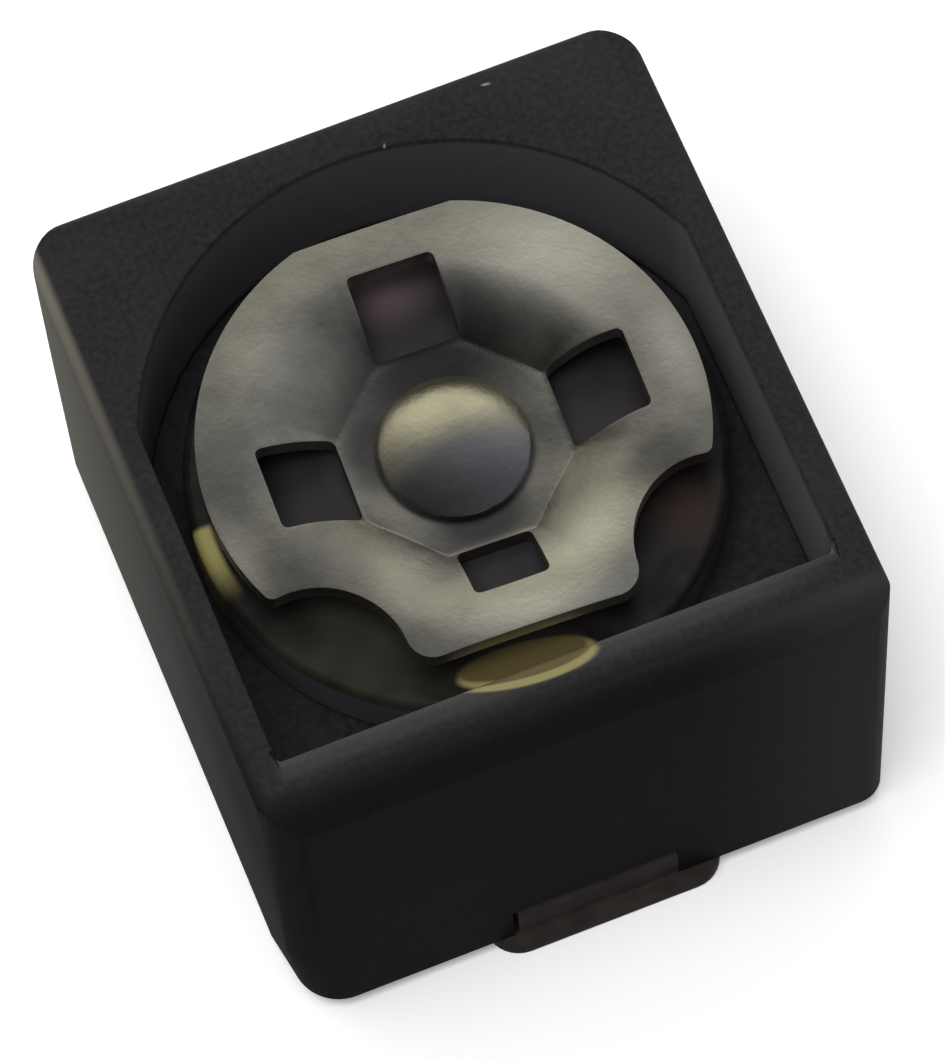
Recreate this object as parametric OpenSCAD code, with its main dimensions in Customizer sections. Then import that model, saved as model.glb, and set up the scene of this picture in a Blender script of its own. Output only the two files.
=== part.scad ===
// Ceramic trimmer capacitor for surface mounting.
// A moulded case holds a ceramic rotor under a dished driver plate.
// Turning the plate turns the rotor's electrode over the one in the case floor.
// Millimetres. Z is the rotor's axis, z = 0 is the board, -Y is the stator side.

/* [Case] */
// Width of the case across its top
case_w = 4.00; // [3.8:0.05:4.6]
// Length of the case between its two lead faces
case_l = 4.32; // [4.2:0.02:5]
// Height of the case, without the feet under it
case_h = 2.86; // [2.5:0.02:3.4]
// How far each side face leans in at the bottom
side_draft = 0.035; // [0:0.005:0.08]
// Radius of the case's upright corners
corner_r = 0.28; // [0.1:0.02:0.4]
// Radius along the top edges at the sides and back
top_edge_r = 0.05; // [0.02:0.01:0.1]
// Radius along the top edge over the front face
front_edge_r = 0.20; // [0.1:0.02:0.22]

/* [Rotor pocket] */
// Width of the pocket between its straight side walls
pocket_w = 3.56; // [3.46:0.02:3.6]
// Radius of the pocket's round back wall
pocket_back_r = 1.89; // [1.83:0.01:1.95]
// Depth of the pocket's floor below the case top
pocket_depth = 0.98; // [0.9:0.02:1.2]
// Distance from the rotor's axis to the front wall
pocket_front = 1.71; // [1.7:0.01:1.74]
// Radius of the front wall's inner edge
front_rim_r = 0.18; // [0.1:0.02:0.2]
// Radius of the pocket's two front corners
pocket_corner_r = 0.06; // [0.03:0.01:0.15]

/* [Ceramic rotor] */
// Setting that the rotor is left at, in degrees
rotor_angle = -2; // [-180:1:180]
// Diameter of the ceramic rotor
rotor_d = 3.34; // [3.1:0.02:3.36]
// Thickness of the ceramic rotor
rotor_t = 0.40; // [0.3:0.02:0.46]
// Radius of the rotor's upper edge
rotor_edge_r = 0.08; // [0.04:0.01:0.12]
// Radius of the silver film fired inside the rotor
film_r = 1.50; // [1.2:0.02:1.56]
// Thickness of the silver film
film_t = 0.02; // [0.02:0.005:0.04]
// Thickness of the ceramic between the film and the stator
dielectric_t = 0.12; // [0.08:0.01:0.18]

/* [Driver plate] */
// Diameter of the driver plate
plate_d = 3.08; // [2.9:0.02:3.2]
// Thickness of its sheet
plate_t = 0.12; // [0.08:0.01:0.14]
// Height of the flat ring above the dish's floor
dish_rise = 0.31; // [0.24:0.01:0.34]
// Diameter of the dish where its wall starts at the flat ring
dish_top_d = 2.56; // [2.46:0.02:2.64]
// Diameter of the dish partway down its wall, where it gets steeper
dish_mid_d = 2.00; // [1.9:0.02:2.1]
// Height of the wall there, above the dish's floor
dish_mid_rise = 0.22; // [0.16:0.01:0.23]
// Width of the dish's eight-sided floor, across its flats
dish_floor_w = 1.34; // [1.28:0.02:1.4]
// Width of the windows that make the driver's cross slot
window_w = 0.56; // [0.46:0.02:0.6]
// Radius at which the windows start
window_in = 0.68; // [0.66:0.01:0.74]
// Radius at which the side and back windows end
window_out = 1.18; // [1.1:0.01:1.24]
// Radius at which the front window ends
front_window_out = 1.07; // [1:0.01:1.1]
// Width of the front window
front_window_w = 0.48; // [0.4:0.02:0.54]
// Distance from the axis to the plate's front flat
front_flat = 1.38; // [1.33:0.01:1.42]
// Distance from the axis to the plate's back flat
back_flat = 1.46; // [1.42:0.01:1.5]
// Radius of the two notches beside the front flat
notch_r = 0.58; // [0.5:0.01:0.62]
// Distance from the axis to the centre of each notch
notch_out = 1.81; // [1.78:0.01:1.86]
// Angle of each notch from the middle of the front flat
notch_angle = 46; // [44:1:50]
// Radius of the two corners between the notches and the front flat
lobe_r = 0.17; // [0.04:0.01:0.2]

/* [Centre shaft] */
// Diameter of the shaft
shaft_d = 0.56; // [0.44:0.02:0.6]
// Diameter of its domed head
head_d = 0.96; // [0.84:0.02:1.02]
// Height of its domed head
head_h = 0.27; // [0.2:0.01:0.3]
// Height of the straight edge below the dome
head_edge = 0.06; // [0.02:0.01:0.1]
// Diameter of its upset lower end
upset_d = 0.84; // [0.76:0.02:0.9]
// Thickness of its upset lower end
upset_h = 0.10; // [0.07:0.01:0.12]

/* [Terminals] */
// Thickness of both terminals' sheet
lead_t = 0.14; // [0.1:0.01:0.16]
// Width of the upright leads
lead_w = 1.08; // [0.9:0.02:1.2]
// Width of the soldering feet
foot_w = 1.46; // [1.3:0.02:1.6]
// How far each foot stands out past the case
foot_reach = 0.09; // [0.06:0.01:0.16]
// How far each foot runs back under the case
foot_under = 0.70; // [0.5:0.05:0.9]
// Radius of each foot's outer corners
foot_corner_r = 0.20; // [0.1:0.01:0.24]
// Height at which the leads leave the moulding, above the case bottom
lead_exit_h = 0.36; // [0.34:0.01:0.42]
// Outer radius of the bends in the leads
bend_r = 0.16; // [0.15:0.01:0.2]
// Gap on each side of a lead in its slot
slot_gap = 0.05; // [0.03:0.01:0.08]
// Radius of the half-round stator electrode
stator_r = 1.50; // [1.2:0.02:1.54]
// Radius of the clear hole round the shaft in the stator electrode
stator_hole_r = 0.56; // [0.46:0.02:0.7]
// Outer radius of the rotor terminal's contact ring
ring_r = 0.98; // [0.9:0.02:1.1]
// Radius of the hole in the contact ring
ring_hole_r = 0.36; // [0.34:0.01:0.38]

/* [Underside] */
// Radius of the recess that holds the spring washer
recess_r = 0.74; // [0.7:0.02:0.8]
// Outer radius of the spring washer
spring_r = 0.64; // [0.58:0.02:0.66]
// Sheet thickness of the spring washer
spring_t = 0.045; // [0.03:0.005:0.06]
// Height of the spring washer's cone as fitted
spring_h = 0.10; // [0.08:0.01:0.11]

/* [Fits] */
// Radial gap between the turning shaft and what it turns in
running_gap = 0.03; // [0.02:0.005:0.05]
// Gap between two faces that slide on each other
face_gap = 0.01; // [0.005:0.005:0.02]
// Radial gap between the shaft and the pieces fixed on it
fixed_gap = 0.005; // [0.002:0.001:0.01]

/* [Hidden] */

round_fn = 96;                 // facets of full circles
dish_sides = 8;                // sides of the dish
over = 1;                      // how far cutters run past a face
thin = 0.001;                  // slice that starts a hull

// Heights, from the board up
case_z = lead_t;
top_z = case_z + case_h;
floor_z = top_z - pocket_depth;
rotor_z = floor_z + face_gap;
film_z = rotor_z + dielectric_t;
rotor_top_z = rotor_z + rotor_t;
dish_z = rotor_top_z + plate_t;
plate_top_z = dish_z + dish_rise;
exit_z = case_z + lead_exit_h;
ring_z = exit_z - lead_t;
spring_z = ring_z - spring_h;
upset_z = spring_z - upset_h;

shaft_r = shaft_d / 2;
hole_r = shaft_r + running_gap;
fixed_r = shaft_r + fixed_gap;
front_y = -case_l / 2;
octagon = 1 / cos(180 / dish_sides);   // across corners over across flats

// ---- Shapes that several pieces share ----

// A rectangle centred on the origin with round corners
module rounded_rect(w, l, r) {
    square([w - 2 * r, l], center = true);
    square([w, l - 2 * r], center = true);
    for (x = [-1, 1], y = [-1, 1])
        translate([x * (w / 2 - r), y * (l / 2 - r)])
            circle(r = r, $fn = round_fn);
}

// What is left of a square corner outside a quarter circle, to cut a round edge
module corner_waste(r) {
    difference() {
        square(r + over);
        circle(r = r, $fn = round_fn);
    }
}

// A 2D side view (y across, z up) swept along X, centred on x = 0
module sweep_x(w) {
    translate([-w / 2, 0, 0])
        rotate([90, 0, 90])
            linear_extrude(height = w) children();
}

// A round bar or hole on the axis, between two heights
module on_axis(r, z0, z1) {
    translate([0, 0, z0]) cylinder(r = r, h = z1 - z0, $fn = round_fn);
}

// Half of a disc on the side given by dir (-1 front, 1 back)
module half_disc(r, t, dir) {
    intersection() {
        cylinder(r = r, h = t, $fn = round_fn);
        translate([-r - over, dir > 0 ? 0 : -r - over, -over])
            cube([2 * (r + over), r + over, t + 2 * over]);
    }
}

// ---- Terminals ----

// Side view of one lead on the front face: from the exit down to the foot
module lead_side(inner_y) {
    inner_r = bend_r - lead_t;
    outer_y = front_y;
    // Part of the lead that runs out through the wall
    difference() {
        translate([outer_y, ring_z])
            square([inner_y - outer_y, lead_t]);
        translate([outer_y + bend_r, exit_z - bend_r])
            mirror([1, 0]) corner_waste(bend_r);
    }
    // Upright, flush with the face
    translate([outer_y, lead_t])
        square([lead_t, exit_z - bend_r - lead_t]);
    // Inside of the upper bend
    difference() {
        translate([outer_y + lead_t - thin, ring_z - inner_r])
            square([inner_r + thin, inner_r + thin]);
        translate([outer_y + bend_r, ring_z - inner_r])
            circle(r = inner_r, $fn = round_fn);
    }
    // Swept foot of the upright, where the sheet folds out into the foot
    difference() {
        translate([outer_y - foot_reach, lead_t])
            square([foot_reach, foot_reach]);
        translate([outer_y - foot_reach, lead_t + foot_reach])
            circle(r = foot_reach, $fn = round_fn);
    }
}

// The soldering foot under the front face
module foot() {
    depth = foot_reach + foot_under;
    difference() {
        translate([-foot_w / 2, front_y - foot_reach, 0])
            cube([foot_w, depth, lead_t]);
        for (x = [-1, 1])
            translate([x * (foot_w / 2 - foot_corner_r),
                       front_y - foot_reach + foot_corner_r, -over])
                linear_extrude(height = lead_t + 2 * over)
                    mirror([0, 1]) mirror([x < 0 ? 1 : 0, 0])
                        corner_waste(foot_corner_r);
    }
}

// Stator terminal: half-round electrode, strip down inside the front wall, foot
module stator_insert() {
    strip_in = front_y + 2 * lead_t + slot_gap;      // inner face of the strip
    strip_out = strip_in - lead_t;
    difference() {
        translate([0, 0, floor_z - lead_t]) half_disc(stator_r, lead_t, -1);
        on_axis(stator_hole_r, floor_z - lead_t - over, floor_z + over);
    }
    sweep_x(lead_w) {
        translate([strip_out, floor_z - lead_t])
            square([-stator_hole_r - strip_out - lead_t, lead_t]);
        translate([strip_out, ring_z])
            square([lead_t, floor_z - ring_z]);
        lead_side(strip_in);
    }
    foot();
}

// Rotor terminal: contact ring round the shaft, strip out at the back, foot
module rotor_insert() {
    difference() {
        union() {
            on_axis(ring_r, ring_z, exit_z);
            rotate([0, 0, 180]) {
                sweep_x(lead_w) lead_side(-ring_hole_r - lead_t);
                foot();
            }
        }
        on_axis(ring_hole_r, ring_z - over, exit_z + over);
    }
}

module stator_terminal() { color("#8c8478") stator_insert(); }

module rotor_terminal() { color("#8c8478") rotor_insert(); }

// ---- Case ----

// Plan of the pocket: round at the back, square at the front
module pocket_plan() {
    front_l = pocket_front + thin;
    intersection() {
        circle(r = pocket_back_r, $fn = 2 * round_fn);
        translate([-pocket_w / 2, 0])
            square([pocket_w, pocket_back_r + over]);
    }
    translate([0, thin - front_l / 2])
        difference() {
            square([pocket_w, front_l], center = true);
            for (x = [-1, 1])
                translate([x * (pocket_w / 2 - pocket_corner_r),
                           -front_l / 2 + pocket_corner_r])
                    mirror([0, 1]) mirror([x < 0 ? 1 : 0, 0])
                        corner_waste(pocket_corner_r);
        }
}

// Outside of the case: plan, side view and front view cut into each other
module case_block() {
    intersection() {
        translate([0, 0, case_z])
            linear_extrude(height = case_h) rounded_rect(case_w, case_l, corner_r);
        sweep_x(case_w + 2 * over)
            difference() {
                translate([-case_l / 2, case_z]) square([case_l, case_h]);
                translate([-case_l / 2 + front_edge_r, top_z - front_edge_r])
                    mirror([1, 0]) corner_waste(front_edge_r);
                translate([case_l / 2 - top_edge_r, top_z - top_edge_r])
                    corner_waste(top_edge_r);
            }
        rotate([0, 0, 90])
            sweep_x(case_l + 2 * over)
                difference() {
                    polygon([[-case_w / 2 + side_draft, case_z],
                             [case_w / 2 - side_draft, case_z],
                             [case_w / 2, top_z],
                             [-case_w / 2, top_z]]);
                    for (x = [-1, 1])
                        translate([x * (case_w / 2 - top_edge_r), top_z - top_edge_r])
                            mirror([x < 0 ? 1 : 0, 0]) corner_waste(top_edge_r);
                }
    }
}

// Slot in the front face that a lead drops through
module lead_slot() {
    translate([-lead_w / 2 - slot_gap, front_y - over, case_z - over])
        cube([lead_w + 2 * slot_gap, over + lead_t, over + lead_exit_h]);
}

module case() {
    color("#2a2a2c")
        difference() {
            case_block();
            // Pocket, and the round inner edge of its front wall
            translate([0, 0, floor_z])
                linear_extrude(height = pocket_depth + over) pocket_plan();
            sweep_x(pocket_w)
                translate([-pocket_front - front_rim_r, top_z - front_rim_r])
                    corner_waste(front_rim_r);
            // Hole for the shaft, recess for the spring washer
            on_axis(hole_r, case_z - over, top_z);
            on_axis(recess_r, case_z - over, ring_z);
            // Moulded-in terminals and the slots that their leads leave by
            stator_insert();
            rotor_insert();
            lead_slot();
            rotate([0, 0, 180]) lead_slot();
        }
}

// ---- Rotor ----

// A piece of the rotor at its setting
module turned() {
    rotate([0, 0, rotor_angle]) children();
}

// Silver film: half a disc inside the ceramic, bared to the shaft at its bore
module film() {
    difference() {
        translate([0, 0, film_z]) half_disc(film_r, film_t, 1);
        on_axis(fixed_r, film_z - over, film_z + over);
    }
}

module rotor_electrode() { color("#c9c8c2") turned() film(); }

module ceramic_rotor() {
    color("#8a6a2c") turned()
        difference() {
            rotate_extrude($fn = 2 * round_fn)
                difference() {
                    translate([fixed_r, rotor_z])
                        square([rotor_d / 2 - fixed_r, rotor_t]);
                    translate([rotor_d / 2 - rotor_edge_r, rotor_top_z - rotor_edge_r])
                        corner_waste(rotor_edge_r);
                }
            film();
        }
}

// Eight-sided floor opening out to the round ring, steeper in its lower part
module dish(grow, z) {
    hull() {
        translate([0, 0, z])
            rotate([0, 0, 180 / dish_sides])
                cylinder(r = dish_floor_w / 2 * octagon + grow, h = thin, $fn = dish_sides);
        translate([0, 0, z + dish_mid_rise])
            cylinder(r = dish_mid_d / 2 + grow, h = thin, $fn = 64);
    }
    hull() {
        translate([0, 0, z + dish_mid_rise])
            cylinder(r = dish_mid_d / 2 + grow, h = thin, $fn = 64);
        translate([0, 0, z + dish_rise - thin])
            cylinder(r = dish_top_d / 2 + grow, h = thin, $fn = 64);
    }
}

// What a round corner between a notch and the front flat leaves over
module lobe_waste(notch_x, notch_y) {
    lobe_y = lobe_r - front_flat;
    lobe_x = notch_x - sqrt(pow(notch_r + lobe_r, 2) - pow(lobe_y - notch_y, 2));
    difference() {
        polygon([[lobe_x, lobe_y], [notch_x, notch_y],
                 [notch_x, -plate_d], [lobe_x, -plate_d]]);
        translate([lobe_x, lobe_y]) circle(r = lobe_r, $fn = round_fn);
    }
}

// Plan of the driver plate: flats at the front and back, two notches, round lobes
module plate_plan() {
    notch_x = notch_out * sin(notch_angle);
    notch_y = -notch_out * cos(notch_angle);
    difference() {
        circle(r = plate_d / 2, $fn = 2 * round_fn);
        translate([-plate_d, -front_flat - plate_d]) square([2 * plate_d, plate_d]);
        translate([-plate_d, back_flat]) square([2 * plate_d, plate_d]);
        for (x = [0, 1])
            mirror([x, 0]) {
                translate([notch_x, notch_y]) circle(r = notch_r, $fn = round_fn);
                lobe_waste(notch_x, notch_y);
            }
    }
}

module driver_plate() {
    color("#8f9090") turned()
        difference() {
            intersection() {
                union() {
                    on_axis(plate_d, plate_top_z - plate_t, plate_top_z);
                    dish(plate_t / 2, rotor_top_z);
                }
                translate([0, 0, rotor_top_z - over])
                    linear_extrude(height = plate_top_z - rotor_top_z + 2 * over) plate_plan();
            }
            // Inside of the dish, then the bore for the shaft
            dish(0, dish_z);
            translate([0, 0, thin]) on_axis(dish_top_d / 2, plate_top_z - thin, plate_top_z + over);
            on_axis(fixed_r, rotor_top_z - over, plate_top_z);
            // Cross slot
            for (a = [0, 90, 180])
                rotate([0, 0, a])
                    translate([window_in, -window_w / 2, rotor_top_z - over])
                        cube([window_out - window_in, window_w, plate_top_z]);
            translate([-front_window_w / 2, -front_window_out, rotor_top_z - over])
                cube([front_window_w, front_window_out - window_in, plate_top_z]);
        }
}

// Shaft: domed head over the plate, straight stem, end upset under the spring
module centre_shaft() {
    cap_h = head_h - head_edge;
    dome_r = (pow(head_d / 2, 2) + pow(cap_h, 2)) / (2 * cap_h);
    color("#b9b5a6") turned() {
        intersection() {
            translate([0, 0, dish_z + head_h - dome_r]) sphere(r = dome_r, $fn = 2 * round_fn);
            on_axis(head_d / 2, dish_z, dish_z + head_h + over);
        }
        on_axis(shaft_r, upset_z, dish_z + head_h / 2);
        on_axis(upset_d / 2, upset_z, spring_z);
    }
}

// Spring washer: a shallow cone between the contact ring and the shaft's end
module spring_washer() {
    color("#a8a69e")
        rotate_extrude($fn = round_fn)
            polygon([[hole_r, spring_z], [hole_r, spring_z + spring_t],
                     [spring_r, ring_z], [spring_r, ring_z - spring_t]]);
}

case();
stator_terminal();
rotor_terminal();
spring_washer();
ceramic_rotor();
rotor_electrode();
driver_plate();
centre_shaft();
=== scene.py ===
# %% [markdown]
# # A ceramic trimmer capacitor
# This tiny part is 4 mm wide and 3 mm high. A black moulded case holds a
# ceramic disc, and a dished metal plate turns it when a driver is put in
# its cross slot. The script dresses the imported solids: it makes the camera,
# the light, the finishes, and finer versions of the pieces that show.

import math

import bmesh
import bpy
from mathutils import Matrix, Vector


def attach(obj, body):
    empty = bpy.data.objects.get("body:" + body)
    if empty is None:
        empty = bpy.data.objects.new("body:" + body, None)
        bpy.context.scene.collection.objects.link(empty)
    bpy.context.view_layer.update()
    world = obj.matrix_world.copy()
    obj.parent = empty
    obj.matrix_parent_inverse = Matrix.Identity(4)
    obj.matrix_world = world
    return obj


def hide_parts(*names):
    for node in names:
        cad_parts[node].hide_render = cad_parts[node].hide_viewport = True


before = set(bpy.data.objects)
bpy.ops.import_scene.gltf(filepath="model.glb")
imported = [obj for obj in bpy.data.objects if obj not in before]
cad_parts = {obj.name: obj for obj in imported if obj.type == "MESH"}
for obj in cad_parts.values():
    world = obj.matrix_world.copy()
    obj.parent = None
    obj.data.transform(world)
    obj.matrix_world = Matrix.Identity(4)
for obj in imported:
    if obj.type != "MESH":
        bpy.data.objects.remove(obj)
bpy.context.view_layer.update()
MM = 0.001
print("nodes:", sorted(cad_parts))

# %% [markdown]
# ## The camera
# A small part is best seen from far away through a long lens, which keeps its
# edges nearly parallel. A camera can be aimed with a Track To constraint, but
# then it can't lean. Here it is placed by its position and by three angles:
# how far it goes round the part, how high it stands, and how far it leans.

# %% Camera
IMAGE_W, IMAGE_H = 945, 1058
FOCAL_PX = 6600.0
CAMERA_AT = Vector((-5.171, -16.795, 38.550)) * MM
AZIMUTH, ELEVATION, ROLL = (math.radians(a) for a in (-17.323, 64.682, -4.838))

back = Vector((math.sin(AZIMUTH) * math.cos(ELEVATION),
               -math.cos(AZIMUTH) * math.cos(ELEVATION),
               math.sin(ELEVATION)))
level = Vector((math.cos(AZIMUTH), math.sin(AZIMUTH), 0))
upward = back.cross(level)
right = math.cos(ROLL) * level + math.sin(ROLL) * upward
up = -math.sin(ROLL) * level + math.cos(ROLL) * upward

camera = bpy.data.objects.new("camera", bpy.data.cameras.new("camera"))
bpy.context.scene.collection.objects.link(camera)
camera.data.sensor_width = 36
camera.data.lens = FOCAL_PX / max(IMAGE_W, IMAGE_H) * camera.data.sensor_width
camera.data.clip_start, camera.data.clip_end = 1 * MM, 2.0
turn = Matrix((right, up, back)).transposed().to_4x4()
camera.matrix_world = Matrix.Translation(CAMERA_AT) @ turn
bpy.context.scene.camera = camera
print("lens:", round(camera.data.lens, 1), "mm")


# %% [markdown]
# ## Colours and nodes
# Colours are written as the hex values that a paint program shows. Blender
# calculates in linear light, so one function converts them. One more small
# function adds a shader node with its settings and links, and hands back the
# output that the next node takes. Every material below is built with it.

# %% Colours and nodes
def colour(code):
    """The linear RGBA of an sRGB hex code such as 8A6A2C."""
    parts = [int(code[i:i + 2], 16) / 255 for i in (0, 2, 4)]
    linear = [c / 12.92 if c <= 0.04045 else ((c + 0.055) / 1.055) ** 2.4 for c in parts]
    return (*linear, 1.0)


def add(tree, kind, inputs=(), output=0, **settings):
    """Adds a shader node. inputs is a dict of socket to value, or to another node's output."""
    node = tree.nodes.new("ShaderNode" + kind)
    for name, value in settings.items():
        setattr(node, name, value)
    for socket, value in dict(inputs).items():
        if isinstance(value, bpy.types.NodeSocket):
            tree.links.new(value, node.inputs[socket])
        else:
            node.inputs[socket].default_value = value
    return node.outputs[output] if node.outputs else node


def new_finish(name):
    """An empty material, its node tree, and the coordinates of the piece in metres."""
    material = bpy.data.materials.new(name)
    material.use_nodes = True
    tree = material.node_tree
    tree.nodes.clear()
    return material, tree, add(tree, "TexCoord", output="Object")


print("mid grey is", round(colour("808080")[0], 3), "in linear light")

# %% [markdown]
# ## The stage
# The floor is a plain pale sheet. The lamps stand near the camera, so that
# the shadow stays small, and they light without showing in the gloss. What
# the metal reflects is the world: bright low down behind the part, dim
# overhead, and dark on the camera's side. A small metal part looks like
# metal only when it has something with light and dark parts to reflect. A
# studio picture could be wrapped round the scene for that. A colour ramp over
# the direction does it with seven numbers.

# %% Floor
bpy.context.scene.view_settings.view_transform = "Standard"

floor_mesh = bpy.data.meshes.new("floor")
bm = bmesh.new()
bmesh.ops.create_grid(bm, x_segments=1, y_segments=1, size=1.0)
bm.to_mesh(floor_mesh)
bm.free()
floor = bpy.data.objects.new("floor", floor_mesh)
bpy.context.scene.collection.objects.link(floor)
paper, tree, place = new_finish("pale_paper")
skin = add(tree, "BsdfPrincipled", {
    "Base Color": colour("F6F6F6"), "Roughness": 0.9, "Specular IOR Level": 0.0,
    "Emission Color": (1.0, 1.0, 1.0, 1.0), "Emission Strength": 0.2})
add(tree, "OutputMaterial", {"Surface": skin})
floor_mesh.materials.append(paper)
floor.visible_glossy = False
print("floor:", floor.name)

# %% What the gloss reflects
# Brightness by how far a direction points to the back: (share, light).
BACKDROP = [(-0.40, 0.085), (-0.10, 0.135), (0.10, 0.175), (0.25, 0.21), (0.50, 0.29),
            (0.75, 0.62), (0.95, 0.92)]
LEFT_TO_RIGHT = 0.85          # how much brighter the backdrop is on the right
COOL, WARM = (1.0, 1.0, 1.06), (1.03, 1.0, 0.84)


def backdrop(light):
    """The dim parts of the backdrop are cool and the bright ones warm."""
    share = min(1.0, max(0.0, (light - 0.15) / 0.5))
    return (*(light * (c + (w - c) * share) for c, w in zip(COOL, WARM)), 1.0)


world = bpy.data.worlds.new("studio")
bpy.context.scene.world = world
world.use_nodes = True
tree = world.node_tree
tree.nodes.clear()
ray = add(tree, "TexCoord", output="Generated")
low, high = BACKDROP[0][0], BACKDROP[-1][0]
depth = add(tree, "MapRange", {"Value": add(tree, "SeparateXYZ", {0: ray}, "Y"),
                               "From Min": low, "From Max": high})
sky = add(tree, "ValToRGB", {"Fac": depth})
stops = sky.node.color_ramp.elements
while len(stops) < len(BACKDROP):
    stops.new(1.0)
for stop, (share, brightness) in zip(stops, BACKDROP):
    stop.position, stop.color = (share - low) / (high - low), backdrop(brightness)
side = add(tree, "Math", {0: add(tree, "SeparateXYZ", {0: ray}, "X"), 1: LEFT_TO_RIGHT, 2: 1.0},
           operation="MULTIPLY_ADD")
add(tree, "OutputWorld", {"Surface": add(tree, "Background", {"Color": sky, "Strength": side})})
print("backdrop stops:", len(stops))


# %% Lamps
def lamp(name, towards, distance_mm, size_mm, watts):
    """A soft square lamp that points at the part and doesn't show in its gloss."""
    data = bpy.data.lights.new(name, "AREA")
    data.size = size_mm * MM
    data.energy = watts
    obj = bpy.data.objects.new(name, data)
    bpy.context.scene.collection.objects.link(obj)
    away = towards.normalized()
    obj.matrix_world = (Matrix.Translation(away * distance_mm * MM)
                        @ away.to_track_quat("Z", "Y").to_matrix().to_4x4())
    obj.visible_glossy = False
    return obj


key = lamp("key", back + 0.22 * up - 0.16 * right, distance_mm=120, size_mm=70, watts=0.115)
fill = lamp("fill", Vector((-0.3, 0.5, 1.0)), distance_mm=150, size_mm=150, watts=0.06)
print("lamps:", key.name, fill.name)

# %% [markdown]
# ## Masks by place
# Chips, painted light and painted shade lie in certain places of the part. They
# could be painted on an image, but an image has to be stored and gets coarse close
# up. Here each is a soft mask on the piece's own coordinates, so it moves with
# the piece. One kind of mask fills a box with soft sides, and the other an
# ellipse. Painting is then one coat of colour over another, each through its
# mask.

# %% Masks by place
def area(tree, place, share=1.0, **sides):
    """A soft box. Each side, as y=[(-1.8, -1.9)], is 0 at its first place and 1 at its second."""
    mask = share
    for axis, pairs in sides.items():
        value = add(tree, "SeparateXYZ", {0: place}, axis.upper())
        for start, end in pairs:
            side = add(tree, "MapRange", {"Value": value, "From Min": start * MM,
                                          "From Max": end * MM}, interpolation_type="SMOOTHSTEP")
            mask = add(tree, "Math", {0: mask, 1: side}, operation="MULTIPLY")
    return mask


def spot(tree, place, at, size, share=1.0, turn=0.0, core=0.0):
    """A soft upright ellipse of half axes size, in millimetres. core is its full share."""
    local = add(tree, "Mapping", {"Vector": place, "Location": (at[0] * MM, at[1] * MM, 0),
                                  "Rotation": (0, 0, math.radians(turn)),
                                  "Scale": (size[0] * MM, size[1] * MM, 1.0)},
                vector_type="TEXTURE")
    flat = add(tree, "VectorMath", {0: local, 1: (1, 1, 0)}, operation="MULTIPLY")
    gap = add(tree, "VectorMath", {0: flat}, "Value", operation="LENGTH")
    return add(tree, "MapRange", {"Value": gap, "From Min": 1.0, "From Max": core,
                                  "To Max": share}, interpolation_type="SMOOTHSTEP")


def painted(tree, tone, *coats):
    """tone with coats laid over it in turn, each a mask and a hex code."""
    for mask, code in coats:
        tone = add(tree, "Mix", {0: mask, 6: tone, 7: colour(code)}, 2, data_type="RGBA")
    return tone


print("kinds of mask:", area.__name__, spot.__name__)

# %% [markdown]
# ## Moulding resin
# The case is black resin filled with glass, moulded in a polished tool. That
# gives the eye a nearly black skin with a weak, broad gloss. It is painted paler
# on the left face towards the back, as a painted reflection, and in the pocket
# and on the edge in front of it, as painted light. Painted shade darkens the
# front face and the front of the left face, and painted light the right end of
# the front face. A plain dark colour would look like flat plastic, so a fine noise is its
# grain and a coarse one its haze. Real grain is too fine to show here, and it
# is drawn at 0.04 mm.

# %% Moulding resin
GRAIN_MM, CLOUD_MM = 0.04, 0.5
# Small chips in the top: place, angle and half length, and half the width of all.
CHIPS = [(0.29, 1.86, 70, 0.05), (1.03, 2.04, -10, 0.04), (-0.09, 1.70, 85, 0.04),
         (1.32, 1.14, -20, 0.05), (1.60, 0.69, 60, 0.03), (0.29, 1.44, 30, 0.04)]
CHIP_HALF_WIDTH = 0.012

# Painted light on the edge in front, where the amber light on the disc runs on: its place and half
# axes, and those of its brown middle.
LIP_LIGHT = (((-0.19, -1.695), (0.46, 0.13)), ((-0.20, -1.658), (0.44, 0.115)))
LIP_LIGHT_TURN, LIP_LIGHT_SHARE, LIP_LIGHT_CORE = -6, 0.9, 0.85

# Where a soft mask starts and is full: the left and front faces, the floor and the top.
LEFT_FACE, FRONT_FACE = (-1.9, -1.96), (-1.86, -1.96)
ABOVE_FLOOR, TOP_FACE = (2.03, 2.12), (2.985, 2.995)
LEFT_FADE = (-2.3, 1.9)       # the painted reflection on the left face goes from none to full between these

case_black, tree, place = new_finish("glass_filled_moulding_resin")
grain = add(tree, "TexNoise", {"Vector": place, "Scale": 1 / (GRAIN_MM * MM), "Detail": 3.0})
clouds = add(tree, "TexNoise", {"Vector": place, "Scale": 1 / (CLOUD_MM * MM), "Detail": 4.0})
speck = add(tree, "MapRange", {"Value": grain, "From Min": 0.35, "From Max": 0.65})
haze = add(tree, "MapRange", {"Value": clouds, "From Min": 0.45, "From Max": 0.8, "To Max": 0.4})
# Painted reflection: the left face is painted paler towards the back.
left = area(tree, place, 0.9, x=[LEFT_FACE])
for _ in range(2):            # twice, so that it fades with the square of the distance
    left = add(tree, "MapRange", {"Value": add(tree, "SeparateXYZ", {0: place}, "Y"),
                                  "From Min": LEFT_FADE[0] * MM, "From Max": LEFT_FADE[1] * MM,
                                  "To Max": left})
# Painted light: the pocket walls are painted paler, and the right inner wall more.
walls = area(tree, place, 0.85, x=[(-1.92, -1.84), (1.92, 1.84)],
             y=[(2.02, 1.96), (-1.80, -1.72)], z=[(2.995, 2.95), ABOVE_FLOOR])
right_wall_light = area(tree, place, 0.14, x=[(1.72, 1.77), (1.83, 1.80)],
                  y=[(-1.6, -1.5), (1.4, 0.6)], z=[ABOVE_FLOOR, (2.995, 2.98)])
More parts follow.
